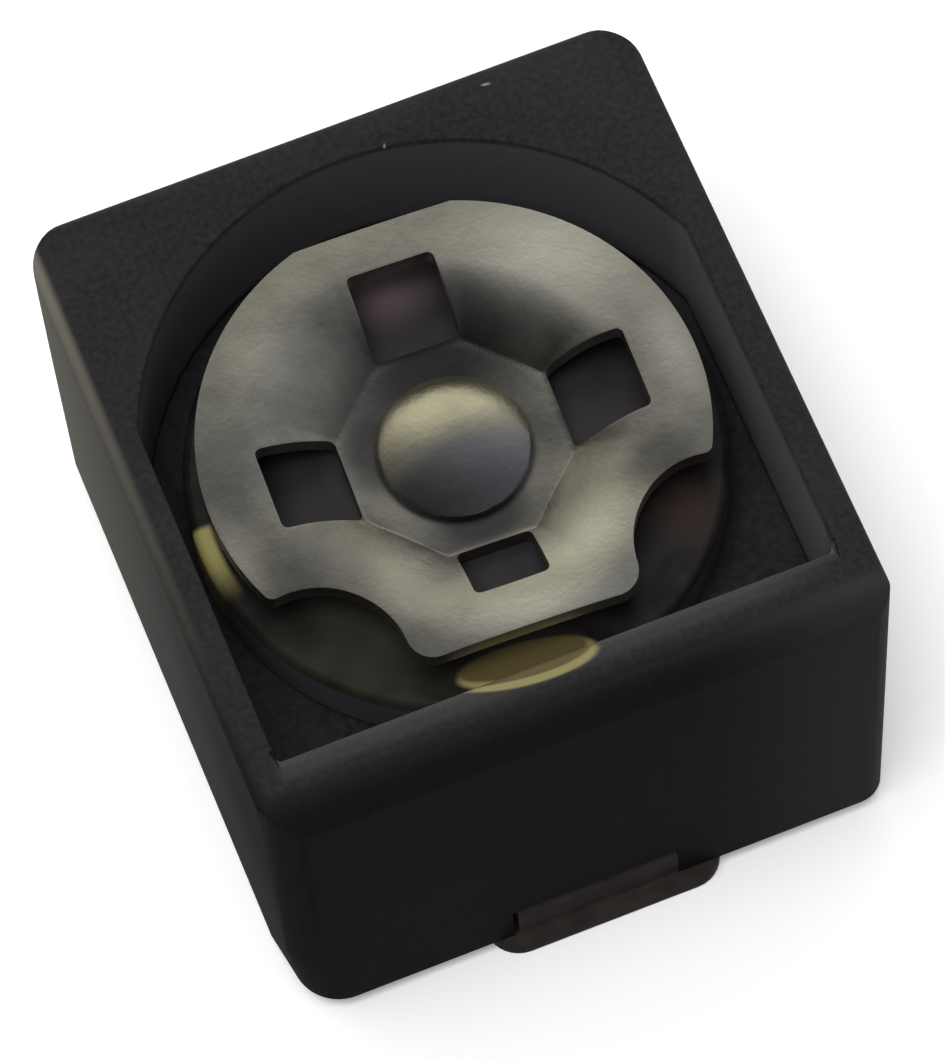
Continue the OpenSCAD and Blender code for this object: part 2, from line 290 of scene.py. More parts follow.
# Painted highlight along the inner edge of the front wall.
front_edge_highlight = area(tree, place, 0.18, x=[(-1.84, -1.74), (1.84, 1.20)],
                  y=[(-1.87, -1.79), (-1.64, -1.68)], z=[(2.80, 2.90)])
# Painted shade darkens the front face and the front of the left face; painted light brightens the
# right end of the front face.
tone = painted(tree, colour("18181A"), (speck, "232326"), (haze, "2E2A2C"),
               (area(tree, place, 0.8, y=[FRONT_FACE]), "0C0C0D"),
               (area(tree, place, 0.35, y=[FRONT_FACE], x=[(0.6, 2.0)]), "454042"),
               (walls, "565459"), (right_wall_light, "86848A"),
               (area(tree, place, 0.8, x=[LEFT_FACE], y=[(0.2, -1.4)]), "0E0E0F"),
               (front_edge_highlight, "5A5C5E"), (left, "6C695E"))

# %% Painted light and chips on the resin
top = area(tree, place, z=[TOP_FACE])
lip = area(tree, place, z=[(2.86, 2.92)], y=[(-1.5, -1.62)])
# Painted light on the lip, with a brown middle, continuing the amber light on the disc.
lip_light, lip_light_middle = (add(tree, "Math", {
    0: spot(tree, place, at, size, LIP_LIGHT_SHARE, LIP_LIGHT_TURN, LIP_LIGHT_CORE), 1: lip},
    operation="MULTIPLY") for at, size in LIP_LIGHT)
tone = painted(tree, tone, (lip_light, "8C8457"), (lip_light_middle, "4A4228"))
for x, y, angle, half in CHIPS:
    chip = add(tree, "Math", {
        0: spot(tree, place, (x, y), (half, CHIP_HALF_WIDTH), 0.5, angle, core=0.4), 1: top},
        operation="MULTIPLY")
    tone = painted(tree, tone, (chip, "A8A59A"))
relief = add(tree, "Bump", {"Height": grain, "Distance": 0.004 * MM, "Strength": 0.6})
skin = add(tree, "BsdfPrincipled", {"Base Color": tone, "Roughness": 0.5,
                                    "Specular IOR Level": 0.35, "Normal": relief})
add(tree, "OutputMaterial", {"Surface": skin})
print(case_black.name, "has", len(tree.nodes), "nodes")

# %% [markdown]
# ## Nickel-plated sheet
# The driver plate is brass sheet, barrel plated with dull nickel. That gives
# a warm grey metal with a broad gloss and a cloudy mottle. Painted shade darkens
# it in the dish, beside the notches and on the left of the rim, and painted
# highlights brighten spots on the rim and the front flat. The painted shade could
# come from noise alone, but noise knows nothing of the dish, so each spot has its
# place. Real grit is too fine to
# show here, and it is drawn at 0.03 mm.

# %% Nickel-plated sheet
MOTTLE_MM, GRIT_MM = 0.22, 0.03
# Place, half axes and share of each spot of painted shade, and of each painted highlight.
SHADE_SPOTS = [((0.05, 0.55), (0.72, 0.55), 0.9), ((-0.02, -0.52), (0.55, 0.30), 0.95),
          ((0.45, -0.10), (0.25, 0.35), 0.4), ((-0.45, 0.15), (0.36, 0.45), 0.85),
          ((-0.60, -0.40), (0.36, 0.26), 0.25), ((-1.05, -0.62), (0.50, 0.60), 0.55),
          ((-0.35, -0.92), (0.50, 0.28), 0.3), ((1.10, -0.66), (0.35, 0.25), 0.6),
          ((-1.42, 0.20), (0.35, 0.50), 0.25)]
HIGHLIGHT_SPOTS = [((0.95, 0.85), (0.95, 0.75), 1.0), ((-0.85, 0.85), (0.45, 0.35), 0.5),
          ((0.1, -1.38), (1.05, 0.30), 1.0), ((0.60, -0.95), (0.50, 0.40), 0.7),
          ((-1.52, -0.35), (0.20, 0.60), 0.9), ((1.45, 0.0), (0.25, 0.60), 0.7)]
BLUED = ((-1.32, 0.35), (0.5, 0.7), 0.35)   # a faint cool patch on the left of the rim
SHADE_CORE = 0.25             # the part of each spot of painted shade that has its full share

plate_nickel, tree, place = new_finish("dull_nickel_plated_sheet")
mottle = add(tree, "TexNoise", {"Vector": place, "Scale": 1 / (MOTTLE_MM * MM), "Detail": 5.0,
                                "Roughness": 0.6})
grit = add(tree, "TexNoise", {"Vector": place, "Scale": 1 / (GRIT_MM * MM)})
worn = add(tree, "MapRange", {"Value": mottle, "From Min": 0.3, "From Max": 0.7})
tone = painted(tree, colour("A3A29B"), (worn, "C4C2B8"))
# Painted highlights in spots on the rim and the front flat.
for at, size, share in HIGHLIGHT_SPOTS:
    tone = painted(tree, tone, (spot(tree, place, at, size, share), "F0EEE2"))
tone = painted(tree, tone, (spot(tree, place, *BLUED), "8C9299"))
# Painted shade in the dish, beside the notches and on the left of the rim.
for at, size, share in SHADE_SPOTS:
    tone = painted(tree, tone, (spot(tree, place, at, size, share, core=SHADE_CORE), "5C5B5F"))
dull = add(tree, "MapRange", {"Value": worn, "To Min": 0.36, "To Max": 0.48})
waves = add(tree, "Bump", {"Height": mottle, "Distance": 0.01 * MM, "Strength": 0.5})
relief = add(tree, "Bump", {"Height": grit, "Distance": 0.003 * MM, "Strength": 0.5,
                            "Normal": waves})
skin = add(tree, "BsdfPrincipled", {"Base Color": tone, "Metallic": 1.0, "Roughness": dull,
                                    "Normal": relief})
add(tree, "OutputMaterial", {"Surface": skin})
print(plate_nickel.name, "has", len(tree.nodes), "nodes")

# %% [markdown]
# ## Head of the shaft
# The shaft is brass, silver plated and peened over. It could share the finish
# of the plate, but silver is smoother and gives the brightest and warmest
# reflection of the part. A painted highlight makes it brightest at the back
# left, and painted shade makes its front half grey.

# %% Head of the shaft
HEAD_CLOUD_MM, HEAD_GRIT_MM = 0.25, 0.04
head_silver, tree, place = new_finish("silver_plated_brass")
mottle = add(tree, "TexNoise", {"Vector": place, "Scale": 1 / (HEAD_CLOUD_MM * MM),
                                "Detail": 4.0})
grit = add(tree, "TexNoise", {"Vector": place, "Scale": 1 / (HEAD_GRIT_MM * MM)})
worn = add(tree, "MapRange", {"Value": mottle, "From Min": 0.3, "From Max": 0.7})
# Painted highlight on the back left of the dome, and painted shade over its front half.
bright = spot(tree, place, (-0.42, 0.12), (0.55, 0.42), 0.7, core=0.4)
grey = spot(tree, place, (0.04, -0.38), (0.80, 0.46), 0.85, core=0.6)
tone = painted(tree, colour("AEAA97"), (worn, "C6C2AE"), (bright, "E6E2CC"), (grey, "A3A6AC"))
waves = add(tree, "Bump", {"Height": mottle, "Distance": 0.012 * MM, "Strength": 0.5})
relief = add(tree, "Bump", {"Height": grit, "Distance": 0.003 * MM, "Strength": 0.5,
                            "Normal": waves})
skin = add(tree, "BsdfPrincipled", {"Base Color": tone, "Metallic": 1.0, "Roughness": 0.28,
                                    "Normal": relief})
add(tree, "OutputMaterial", {"Surface": skin})
print(head_silver.name, "has", len(tree.nodes), "nodes")

# %% [markdown]
# ## Fired ceramic
# The disc is titanate ceramic, lapped flat and fired, with a thin glaze that
# gives it a sharp weak gloss. Its own colour is a dark brown. Painted light
# makes it amber in a crescent in front, with a painted highlight on its edge,
# and in a strip on the left of the rim, where light falls on the disc. Painted
# light also makes it paler behind the windows and on its side, and it is rusty
# in the right notch. The crescent could be a piece of its own, but it is only
# painted light, so it is a mask in the same finish.

# %% Fired ceramic
# Where painted light makes the disc amber in front, and where it is painted brown
# in the middle of that: place and half axes.
LIT_CRESCENT, LIT_CRESCENT_MIDDLE = ((-0.11, -1.435), (0.46, 0.13)), ((-0.12, -1.398), (0.44, 0.115))
LIT_TURN, LIT_SHARE, LIT_CORE = -6, 0.95, 0.85
LIT_RIM_R = 1.53             # the painted light of the left strip lies outside this radius
PATCH_MM = 0.2

rotor_ceramic, tree, place = new_finish("fired_dielectric_ceramic")
mottle = add(tree, "TexNoise", {"Vector": place, "Scale": 1 / (PATCH_MM * MM), "Detail": 4.0})
worn = add(tree, "MapRange", {"Value": mottle, "From Min": 0.35, "From Max": 0.7})
# Painted light: an amber strip on the left of the rim, where light falls on the disc.
rim = spot(tree, place, (0, 0), (LIT_RIM_R, LIT_RIM_R), core=1.03)
strip = area(tree, place, x=[(-1.0, -1.4)], y=[(0.18, 0.13), (-0.40, 0.0)])
left = add(tree, "Math", {0: rim, 1: strip}, operation="MULTIPLY")
# Painted light: an amber crescent in front, with a painted highlight on its edge and a brown
# middle.
amber = spot(tree, place, *LIT_CRESCENT, LIT_SHARE, LIT_TURN, LIT_CORE)
brown = spot(tree, place, *LIT_CRESCENT_MIDDLE, LIT_SHARE, LIT_TURN, LIT_CORE)
# Painted light lifts the shade seen through the windows and under the back window.
lit_under_windows = spot(tree, place, (0, 0), (1.5, 1.5), 0.35, core=0.8)
lit_under_back = spot(tree, place, (0.0, 1.22), (0.45, 0.35), 0.8)
rusty = spot(tree, place, (1.17, -0.86), (0.36, 0.36), 0.35)
olive = area(tree, place, 0.12, x=[(-0.3, -0.9)], y=[(-0.4, -0.9)])
# Painted light on the side of the disc, in the shaded gap by the pocket wall.
wall = area(tree, place, 0.9, z=[(2.40, 2.34)])
tone = painted(tree, colour("141313"), (worn, "221F1E"), (lit_under_windows, "3A3738"),
               (lit_under_back, "5E5254"), (rusty, "4A3A32"), (olive, "4C4A34"), (wall, "4A4A50"),
               (amber, "8C8457"), (brown, "4E462A"), (left, "9C945E"))
skin = add(tree, "BsdfPrincipled", {"Base Color": tone, "Roughness": 0.3, "Coat Weight": 0.08,
                                    "Coat Roughness": 0.1, "Specular IOR Level": 0.35})
add(tree, "OutputMaterial", {"Surface": skin})
print(rotor_ceramic.name, "has", len(tree.nodes), "nodes")

# %% [markdown]
# ## Tinned strip
# The terminals are copper alloy strip, dipped in solder. It has gone brown
# and half dull, so it reads as a dark metal with a broad gloss. A full metal
# would mirror the pale floor and look new, so the dull skin is only partly
# metallic.

# %% Tinned strip
TIN_CLOUD_MM = 0.2
lead_tin, tree, place = new_finish("tinned_copper_alloy_strip")
mottle = add(tree, "TexNoise", {"Vector": place, "Scale": 1 / (TIN_CLOUD_MM * MM),
                                "Detail": 4.0})
worn = add(tree, "MapRange", {"Value": mottle, "From Min": 0.3, "From Max": 0.7})
tone = painted(tree, colour("3D3433"), (worn, "4E4442"))
relief = add(tree, "Bump", {"Height": mottle, "Distance": 0.01 * MM, "Strength": 0.4})
skin = add(tree, "BsdfPrincipled", {"Base Color": tone, "Metallic": 0.5, "Roughness": 0.55,
                                    "Normal": relief})
add(tree, "OutputMaterial", {"Surface": skin})
print(lead_tin.name, "has", len(tree.nodes), "nodes")

# %% [markdown]
# ## The solids get their finishes
# Most solids are hidden under finer pieces further down, but each one keeps
# the finish of its real material, for whoever uses the solids alone.

# %% Give each solid its finish
FINISHES = {
    "case": case_black, "stator_terminal": lead_tin, "rotor_terminal": lead_tin,
    "spring_washer": lead_tin, "ceramic_rotor": rotor_ceramic,
    "rotor_electrode": head_silver, "driver_plate": plate_nickel, "centre_shaft": head_silver,
}
for node, material in FINISHES.items():
    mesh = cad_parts[node].data
    mesh.materials.clear()
    mesh.materials.append(material)
print("finished solids:", len(FINISHES))


# %% [markdown]
# ## Helpers for shapes
# Shapes are made in millimetres as a bmesh and turned into an object in
# metres at the end. Every corner could be modelled by moving points. Instead,
# blocks and drums are cut from each other with exact booleans, because a cut
# edge then lies just where the sizes say.

# %% Helpers for shapes
def to_object(bm, name):
    """An object at the origin with the shape of bm, in metres. bm is in millimetres."""
    bmesh.ops.scale(bm, vec=(MM, MM, MM), verts=bm.verts)
    mesh = bpy.data.meshes.new(name)
    bm.to_mesh(mesh)
    bm.free()
    obj = bpy.data.objects.new(name, mesh)
    bpy.context.scene.collection.objects.link(obj)
    return obj


def applied(obj):
    """Applies the modifiers of obj and returns its mesh as a bmesh, in millimetres."""
    tree = bpy.context.evaluated_depsgraph_get()
    bm = bmesh.new()
    bm.from_object(obj, tree)
    bmesh.ops.scale(bm, vec=(1 / MM,) * 3, verts=bm.verts)
    bpy.data.objects.remove(obj)
    return bm


def carve(bm, cutter, operation="DIFFERENCE"):
    """bm with cutter taken away, or with only what they share."""
    body, tool = to_object(bm, "body"), to_object(cutter, "tool")
    boolean = body.modifiers.new("carve", "BOOLEAN")
    boolean.object, boolean.operation, boolean.solver = tool, operation, "EXACT"
    result = applied(body)
    bpy.data.objects.remove(tool)
    bmesh.ops.remove_doubles(result, verts=result.verts, dist=1e-5)
    return result


def block(x0, x1, y0, y1, z0, z1):
    """A box between two corners."""
    bm = bmesh.new()
    made = bmesh.ops.create_cube(bm, size=1.0)
    bmesh.ops.scale(bm, vec=(x1 - x0, y1 - y0, z1 - z0), verts=made["verts"])
    bmesh.ops.translate(bm, vec=((x0 + x1) / 2, (y0 + y1) / 2, (z0 + z1) / 2), verts=made["verts"])
    return bm


def drum(radius, z0, z1, at=(0, 0), sides=160):
    """A closed cylinder between two heights."""
    bm = bmesh.new()
    bmesh.ops.create_cone(bm, cap_ends=True, segments=sides, radius1=radius, radius2=radius,
                          depth=z1 - z0,
                          matrix=Matrix.Translation((at[0], at[1], (z0 + z1) / 2)))
    return bm


def turned(bm, degrees):
    """bm turned about the rotor's axis."""
    bmesh.ops.rotate(bm, verts=bm.verts, cent=(0, 0, 0),
                     matrix=Matrix.Rotation(math.radians(degrees), 3, "Z"))
    return bm


def round_edges(bm, keep, radius, segments=4):
    """Bevels the sharp edges for which keep(middle, edge) is true."""
    edges = [e for e in bm.edges
             if len(e.link_faces) == 2 and e.calc_face_angle(0) > math.radians(25)
             and keep((e.verts[0].co + e.verts[1].co) / 2, e)]
    bmesh.ops.bevel(bm, geom=edges, offset=radius, offset_type="OFFSET", segments=segments,
                    profile=0.5, affect="EDGES", material=-1, clamp_overlap=True)
    return len(edges)


def piece(bm, name, body, material, stands_for, smooth_under=40):
    """Finishes bm as a visible piece that rides a body and stands for solids."""
    obj = to_object(bm, name)
    obj.data.shade_smooth()
    obj.data.set_sharp_from_angle(angle=math.radians(smooth_under))
    obj.data.materials.append(material)
    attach(obj, body)
    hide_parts(*stands_for)
    print(name, "has", sum(len(p.vertices) - 2 for p in obj.data.polygons), "triangles")


# %% [markdown]
# ## The driver plate
# The plate is stamped from sheet 0.12 mm thick and pressed into a shallow
# dish with an eight-sided floor. It is made in the same order here: a flat
# blank is cut, its sheared edges are broken as barrel plating does, and only
# then does every point go down by the depth of the dish. A dish could be
# sculpted, or cut from a thick block, but cutting while the sheet is flat keeps
# its thickness and all its edges even. Thin slices in both directions give the
# flat sheet the points that it needs to bend.

# %% Sizes of the plate
PLATE_R, PLATE_T, PLATE_TOP = 1.565, 0.12, 2.86
DISH_RISE, DISH_FLOOR, DISH_EDGE = 0.31, 0.67, 1.27
BACK_RIGHT_CREST = 0.16       # how much further in the crest lies at the back right
WALL_CURVE = 1.9              # above 1, the wall is steeper near the floor
FLOOR_FLAT, FLOOR_RISE = 0.42, 0.06   # the floor rises outside this distance, by this much
FRONT_CALM = 0.7              # the share of that rise which is missing at the front
BACK_RIGHT_START = 0.4        # above 0, the change at the back right is narrower
RIM_DROOP, RIM_CURVE = 0.035, 1.6
FRONT_CREST = 0.10            # how much further out the crest lies at the front
FRONT_FLAT, BACK_FLAT = 1.39, 1.48    # distance of the flats from the axis
LOBE_R, TIP_R = 0.17, 0.07    # the corners beside the front flat, and those at the rim
NOTCH_R, NOTCH_OUT, NOTCH_ANGLE = 0.58, 1.82, 46
WINDOW_IN, WINDOW_OUT, WINDOW_W = 0.68, 1.18, 0.56
FRONT_WINDOW_OUT, FRONT_WINDOW_W = 1.07, 0.48
WINDOW_CORNER_R, HOLE_R, HUB_R = 0.04, 0.285, 0.4   # the head hides all inside the hub
ROTOR_TURN = -2.0             # the setting that the rotor is left at, in degrees
CELL, CELLS = 0.025, 64       # spacing of the slices that let the sheet bend, and their number
SHEAR_BREAK = 0.028           # how far the sheared edges are rounded


def clamp(v):
    """v, kept between 0 and 1."""
    return max(0.0, min(1.0, v))


def pressed(x, y):
    """Height of the sheet's upper face over one point, below its crest."""
    eighth = max(x * math.cos(a) + y * math.sin(a)
                 for a in (math.pi / 4 * k for k in range(8)))
    circle = math.hypot(x, y)
    front = clamp(-y / max(circle, 0.01))
    corner = clamp((x + y) / max(circle, 0.01) - BACK_RIGHT_START)
    crest = DISH_EDGE + FRONT_CREST * front ** 3 - BACK_RIGHT_CREST * corner
    blend = clamp((circle - DISH_FLOOR) / (crest - DISH_FLOOR))
    blend = blend * blend * (3 - 2 * blend)
    m = eighth + (circle - eighth) * blend
    rise = FLOOR_RISE * (1 - FRONT_CALM * clamp(-y / DISH_FLOOR))
    if m < DISH_FLOOR:
        return -DISH_RISE + rise * clamp((circle - FLOOR_FLAT) / (DISH_FLOOR - FLOOR_FLAT))
    if m < crest:
        rest = 1 - (m - DISH_FLOOR) / (crest - DISH_FLOOR)
        return -(DISH_RISE - rise) * rest ** WALL_CURVE
    return -RIM_DROOP * ((circle - crest) / (PLATE_R - crest)) ** RIM_CURVE


# %% Outline of the blank
HIGH, LOW, PAST_RIM = 4, 2, 1.2   # cutters reach above, below and past the sheet


def prism(outline, z0, z1):
    """A closed prism over an outline of (x, y) points."""
    bm = bmesh.new()
    base = bm.faces.new([bm.verts.new((x, y, z0)) for x, y in outline])
    made = bmesh.ops.extrude_face_region(bm, geom=[base])["geom"]
    bmesh.ops.translate(bm, vec=(0, 0, z1 - z0),
                        verts=[v for v in made if isinstance(v, bmesh.types.BMVert)])
    bmesh.ops.recalc_face_normals(bm, faces=bm.faces)
    return bm


notch_x = NOTCH_OUT * math.sin(math.radians(NOTCH_ANGLE))
notch_y = -NOTCH_OUT * math.cos(math.radians(NOTCH_ANGLE))
# Centres of the rounded corners, from circles that touch the notch and the flat or rim.
lobe_y = LOBE_R - FRONT_FLAT
lobe_x = notch_x - math.sqrt((NOTCH_R + LOBE_R) ** 2 - (lobe_y - notch_y) ** 2)
tip_out = PLATE_R - TIP_R
tip_turn = math.radians(NOTCH_ANGLE) + math.acos(
    (tip_out ** 2 + NOTCH_OUT ** 2 - (NOTCH_R + TIP_R) ** 2) / (2 * tip_out * NOTCH_OUT))
plate = drum(PLATE_R, PLATE_TOP - PLATE_T, PLATE_TOP)
plate = carve(plate, block(-3, 3, -3, -FRONT_FLAT, LOW, HIGH))
plate = carve(plate, block(-3, 3, BACK_FLAT, 3, LOW, HIGH))
for side in (-1, 1):
    plate = carve(plate, drum(NOTCH_R, LOW, HIGH, at=(side * notch_x, notch_y), sides=96))
    waste = prism([(side * lobe_x, lobe_y), (side * notch_x, notch_y), (side * notch_x, -3),
                   (side * lobe_x, -3)], 1.9, 4.1)
    waste = carve(waste, drum(LOBE_R, 1, 5, at=(side * lobe_x, lobe_y), sides=64))
    plate = carve(plate, waste)
    tip = Vector((side * tip_out * math.sin(tip_turn), -tip_out * math.cos(tip_turn)))
    waste = prism([tip, tip * PAST_RIM, (side * notch_x, notch_y)], 1.9, 4.1)
    plate = carve(plate, carve(waste, drum(TIP_R, 1, 5, at=tip, sides=48)))
print("blank:", len(plate.faces), "faces")

# %% Windows and hole
upright = lambda e: abs(e.verts[0].co.z - e.verts[1].co.z) > 0.01
for angle, width, outer in ((0, WINDOW_W, WINDOW_OUT), (90, WINDOW_W, WINDOW_OUT),
                            (180, WINDOW_W, WINDOW_OUT),
                            (270, FRONT_WINDOW_W, FRONT_WINDOW_OUT)):
    window = block(WINDOW_IN, outer, -width / 2, width / 2, 2.2, 3.2)
    round_edges(window, lambda m, e: upright(e), WINDOW_CORNER_R, 3)
    plate = carve(plate, turned(window, angle))
plate = carve(plate, drum(HOLE_R, LOW, HIGH, sides=48))
count = round_edges(plate, lambda m, e: not upright(e) and m.xy.length > HUB_R, SHEAR_BREAK, 4)
print("broken edges:", count)

# %% Press the sheet
bmesh.ops.triangulate(plate, faces=plate.faces)
for axis in ((1, 0, 0), (0, 1, 0)):
    for k in range(-CELLS, CELLS + 1):
        bmesh.ops.bisect_plane(plate, geom=plate.verts[:] + plate.edges[:] + plate.faces[:],
                               plane_co=Vector(axis) * k * CELL, plane_no=axis, dist=1e-4)
for v in plate.verts:
    v.co.z += pressed(v.co.x, v.co.y)
piece(turned(plate, ROTOR_TURN), "pressed_plate", "rotor", plate_nickel,
      ["driver_plate"], smooth_under=50)

# %% [markdown]
# ## The shaft
# The head was peened over the plate in a press, which left a low dome on a
# short straight edge. A cylinder with a bevelled top would give a flat head.
# The shaft is one solid of revolution, so its section is drawn once and spun
# about the axis.

# %% Shaft
SHAFT_R, HEAD_R, HEAD_H, HEAD_EDGE = 0.28, 0.48, 0.205, 0.05
SEAT_Z, SHAFT_END, UPSET_Z, UPSET_R = 2.55, 0.16, 0.26, 0.42
UPSET_BREAK = 0.02            # how far the edges of the upset end are cut off
RIM_BREAK = 0.008             # how far the rim of the dome is rounded
DOME_STEPS = 24


def spun(profile, steps=128):
    """A closed solid of revolution about the rotor's axis from (radius, height) points."""
    bm = bmesh.new()
    points = [bm.verts.new((r, 0, z)) for r, z in profile]
    edges = [bm.edges.new(pair) for pair in zip(points, points[1:] + points[:1])]
    bmesh.ops.spin(bm, geom=points + edges, cent=(0, 0, 0), axis=(0, 0, 1), steps=steps,
                   angle=math.tau, use_merge=True)
    bmesh.ops.remove_doubles(bm, verts=bm.verts, dist=1e-5)
    loose = [e for e in bm.edges if not e.link_faces]
    bmesh.ops.delete(bm, geom=loose, context="EDGES")
    bmesh.ops.recalc_face_normals(bm, faces=bm.faces)
    return bm


rise = HEAD_H - HEAD_EDGE
dome_r = (HEAD_R ** 2 + rise ** 2) / (2 * rise)
reach = math.asin((HEAD_R - RIM_BREAK) / dome_r)
dome = [(dome_r * math.sin(a), SEAT_Z + HEAD_H - dome_r * (1 - math.cos(a)))
        for a in (reach * k / DOME_STEPS for k in range(DOME_STEPS, -1, -1))]
shaft = spun([(0, SHAFT_END), (UPSET_R - UPSET_BREAK, SHAFT_END),
              (UPSET_R, SHAFT_END + UPSET_BREAK), (UPSET_R, UPSET_Z - UPSET_BREAK),
              (UPSET_R - UPSET_BREAK, UPSET_Z), (SHAFT_R, UPSET_Z), (SHAFT_R, SEAT_Z),
              (HEAD_R, SEAT_Z), (HEAD_R, SEAT_Z + HEAD_EDGE - RIM_BREAK)] + dome)
piece(shaft, "peened_shaft", "rotor", head_silver, ["centre_shaft"])

# %% [markdown]
# ## The ceramic rotor
# The ceramic is pressed, fired and then lapped flat on both faces, so it is a
# plain disc with a rounded upper edge. It is spun from its section like the
# shaft.

# %% Ceramic rotor
DISC_R, DISC_Z, DISC_TOP, DISC_EDGE = 1.67, 2.03, 2.43, 0.06
DISC_FOOT_BREAK, LAPPED_R = 0.02, 1.2   # the lower edge, and a ring of points on the top
corner = [(DISC_R - DISC_EDGE * (1 - math.sin(a)), DISC_TOP - DISC_EDGE * (1 - math.cos(a)))
          for a in (math.pi / 2 * k / 8 for k in range(8, -1, -1))]
disc = spun([(HOLE_R, DISC_Z), (DISC_R - DISC_FOOT_BREAK, DISC_Z),
             (DISC_R, DISC_Z + DISC_FOOT_BREAK)] + corner
            + [(LAPPED_R, DISC_TOP), (HOLE_R, DISC_TOP)], steps=160)
piece(disc, "lapped_ceramic_disc", "rotor", rotor_ceramic, ["ceramic_rotor"])

# %% [markdown]
# ## The case
# A real case is moulded in one shot: the cavity gives the rounded block, and a
# core gives the pocket. A cube with bevelled edges would give every edge the
# same radius. Here three plain prisms, one for each view, are cut into each
# other for the block, so each edge has its own, and the core is taken away
# from it. The lower left corner leans in, so a prism of its own cuts it.

# %% Sizes of the case
CASE_W, CASE_L, CASE_Z, TOP_Z = 4.00, 4.32, 0.14, 3.00
SIDE_DRAFT, TOP_EDGE_R, FRONT_EDGE_R = 0.035, 0.05, 0.20
BACK_CORNER_R, LEFT_CORNER_R, RIGHT_CORNER_R = 0.33, 0.28, 0.20
# The lower left corner leans in: its centre and radius, the turn of the side
# beside it, and how high it reaches and how far it leans.
TOE, TOE_R, TOE_TURN, TOE_H, TOE_LEAN = (-1.60, -1.86), 0.30, 9, 1.1, 0.13
TOE_SIDE = 0.7                # how far that side runs back
POCKET_W, POCKET_BACK_R, POCKET_FRONT, FLOOR_Z = 3.56, 1.89, 1.68, 2.02
FRONT_RIM_R, POCKET_CORNER_R, RIM_SOFT = 0.09, 0.06, 0.025
BORE_R, WELL_R, WELL_TOP = 0.31, 0.74, 0.40   # hole for the shaft, and room for the spring
SLOT_HALF_W, SLOT_IN, SLOT_TOP = 0.555, 2.02, 0.50   # slots in the walls for the strips


def along(edge, axis):
    """True for an edge that runs along one axis."""
    way = (edge.verts[0].co - edge.verts[1].co).normalized()
    return abs(way["xyz".index(axis)]) > 0.99


# %% Outside of the case
half_w, half_l = CASE_W / 2, CASE_L / 2
plan = block(-half_w, half_w, -half_l, half_l, CASE_Z, TOP_Z)
for keep, radius in ((lambda m: m.y > 0, BACK_CORNER_R),
                     (lambda m: m.y < -2 and m.x < -1.9, LEFT_CORNER_R),
                     (lambda m: m.y < -2 and m.x > 1.9, RIGHT_CORNER_R)):
    round_edges(plan, lambda m, e: along(e, "z") and keep(m), radius, 10)
side = block(-3, 3, -half_l, half_l, CASE_Z, TOP_Z)
round_edges(side, lambda m, e: along(e, "x") and m.z > 2 and m.y < 0, FRONT_EDGE_R, 8)
round_edges(side, lambda m, e: along(e, "x") and m.z > 2 and m.y > 2.1, TOP_EDGE_R, 4)
front = block(-half_w, half_w, -3, 3, CASE_Z, TOP_Z)
for v in front.verts:
    if v.co.z < 1:
        v.co.x *= (half_w - SIDE_DRAFT) / half_w
round_edges(front, lambda m, e: along(e, "y") and m.z > 2, TOP_EDGE_R, 4)
case = carve(carve(plan, side, "INTERSECT"), front, "INTERSECT")
print("case block:", len(case.faces), "faces")

# %% Lower left corner
lean = math.radians(TOE_TURN)
arc = [(TOE[0] + TOE_R * math.cos(a), TOE[1] + TOE_R * math.sin(a))
       for a in (math.pi + lean + (math.pi / 2 - lean) * k / 12 for k in range(13))]
start = (arc[0][0] - TOE_SIDE * math.sin(lean), arc[0][1] + TOE_SIDE * math.cos(lean))
toe = prism([start] + arc + [(TOE[0], -3), (-3, -3), (-3, start[1])], 0, TOE_H)
for v in toe.verts:
    if v.co.z > 0.5:
        v.co.x -= TOE_LEAN
case = carve(case, toe)
print("case with its lower corner:", len(case.faces), "faces")

# %% Core of the pocket
back_core = carve(drum(POCKET_BACK_R, FLOOR_Z, 4, sides=144),
                  block(-POCKET_W / 2, POCKET_W / 2, -0.01, 3, 1, 5), "INTERSECT")
front_core = block(-POCKET_W / 2, POCKET_W / 2, -POCKET_FRONT, 0, FLOOR_Z, 4)
round_edges(front_core, lambda m, e: along(e, "z") and m.y < -1, POCKET_CORNER_R, 4)
core = carve(back_core, front_core, "UNION")
case = carve(case, core)
lip = block(-POCKET_W / 2, POCKET_W / 2, -POCKET_FRONT - FRONT_RIM_R, -1.0,
            TOP_Z - FRONT_RIM_R, 4)
roller = drum(FRONT_RIM_R, -3, 3, sides=64)
bmesh.ops.rotate(roller, verts=roller.verts, cent=(0, 0, 0),
                 matrix=Matrix.Rotation(math.pi / 2, 3, "Y"))
bmesh.ops.translate(roller, verts=roller.verts,
                    vec=(0, -POCKET_FRONT - FRONT_RIM_R, TOP_Z - FRONT_RIM_R))
case = carve(case, carve(lip, roller))
print("case with its pocket:", len(case.faces), "faces")

# %% Soften the rim of the pocket, then cut what lies below
count = round_edges(case, lambda m, e: m.z > TOP_Z - 0.001 and abs(m.x) < 1.9
                    and abs(m.y) < 1.95 and m.y > -POCKET_FRONT, RIM_SOFT, 3)
print("softened rim edges:", count)
case = carve(case, drum(BORE_R, -1, 4, sides=64))
case = carve(case, drum(WELL_R, -1, WELL_TOP, sides=96))
for near, far in ((-3, -SLOT_IN), (SLOT_IN, 3)):
    case = carve(case, block(-SLOT_HALF_W, SLOT_HALF_W, near, far, -1, SLOT_TOP))
piece(case, "moulded_case", "housing", case_black, ["case"], smooth_under=30)

# %% [markdown]
# ## The terminals
# Each terminal is one strip: the electrode or contact ring inside, a lead out
# through the wall, an upright, and a foot folded out on the board. A flat sheet
# could be folded step by step. Straight blocks are simpler to size: they are
# joined, the folds are bevelled, and the outer edges are broken, as tumbling
# leaves them.

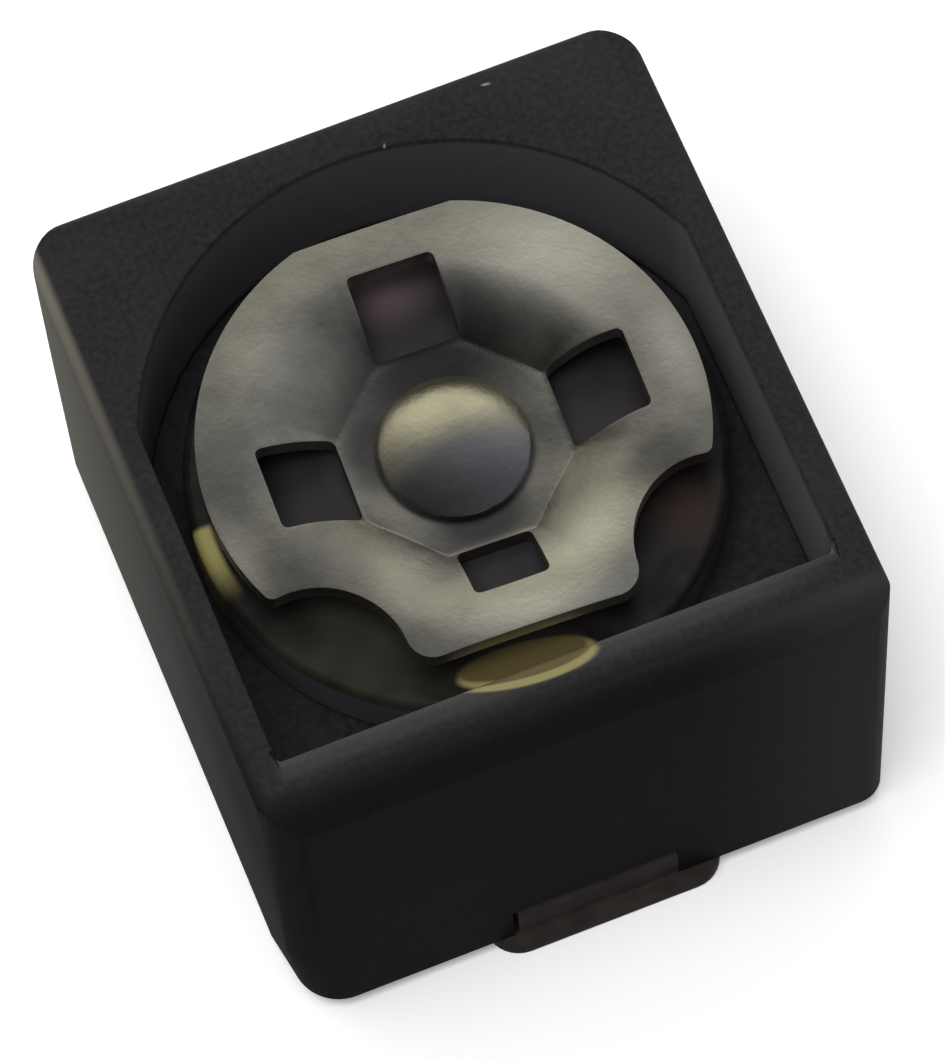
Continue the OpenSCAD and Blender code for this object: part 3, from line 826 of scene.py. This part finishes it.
# %% Terminals
LEAD_T, LEAD_W, RING_Z, BEND_R = 0.14, 1.08, 0.36, 0.15
FOOT, BACK_FOOT = (-0.70, 0.87), (-0.73, 0.73)   # left and right ends of each foot
STRIP_SHIFT = 0.02            # how far right of the middle the front strip stands
FOOT_FRONT, FOOT_BACK, FOOT_CORNER_R, FOOT_FOLD = -2.25, -1.46, 0.22, 0.07
STRIP_OUT, STRIP_IN, EDGE_BREAK = -1.97, -1.83, 0.018
STATOR_R, STATOR_HOLE_R, STATOR_ROOT = 1.5, 0.56, -0.7
RING_R, RING_HOLE_R, RING_ROOT = 0.98, 0.36, -0.5


def lead(inside_y, foot, shift=0.0):
    """Lead through the front wall, upright and foot, as one solid."""
    x0, x1 = shift - LEAD_W / 2, shift + LEAD_W / 2
    strip = block(x0, x1, -CASE_L / 2, inside_y, RING_Z, RING_Z + LEAD_T)
    strip = carve(strip, block(x0, x1, -CASE_L / 2, -CASE_L / 2 + LEAD_T, 0.05, RING_Z + LEAD_T),
                  "UNION")
    round_edges(strip, lambda m, e: along(e, "x") and m.z > 0.45 and m.y < -2.1, BEND_R, 6)
    base = block(*foot, FOOT_FRONT, FOOT_BACK, 0, LEAD_T)
    round_edges(base, lambda m, e: along(e, "z") and m.y < -2.2, FOOT_CORNER_R, 8)
    strip = carve(strip, base, "UNION")
    count = round_edges(strip, lambda m, e: along(e, "x") and abs(m.z - LEAD_T) < 0.01
                        and abs(m.y + CASE_L / 2) < 0.01, FOOT_FOLD, 4)
    print("lead:", len(strip.faces), "faces, folds:", count)
    return strip


def outside(m):
    """True in the part of a strip that stands outside the case."""
    return abs(m.y) > 2.03 and m.z < 0.6


half = LEAD_W / 2
stator = carve(drum(STATOR_R, FLOOR_Z - LEAD_T, FLOOR_Z), block(-2, 2, -2, 0, 1, 3),
               "INTERSECT")
stator = carve(stator, drum(STATOR_HOLE_R, 1, 3, sides=64))
for inner, low in ((STATOR_ROOT, FLOOR_Z - LEAD_T), (STRIP_IN, RING_Z)):
    stator = carve(stator, block(-half, half, STRIP_OUT, inner, low, FLOOR_Z), "UNION")
stator = carve(stator, lead(STRIP_IN, FOOT, STRIP_SHIFT), "UNION")
round_edges(stator, lambda m, e: outside(m), EDGE_BREAK, 2)
piece(stator, "stator_strip", "housing", lead_tin, ["stator_terminal"])

# %% Contact ring
ring = turned(lead(RING_ROOT, BACK_FOOT), 180)
ring = carve(ring, drum(RING_R, RING_Z, RING_Z + LEAD_T, sides=96), "UNION")
ring = carve(ring, drum(RING_HOLE_R, -1, 2, sides=64))
round_edges(ring, lambda m, e: outside(m), EDGE_BREAK, 2)
piece(ring, "contact_strip", "housing", lead_tin, ["rotor_terminal"])
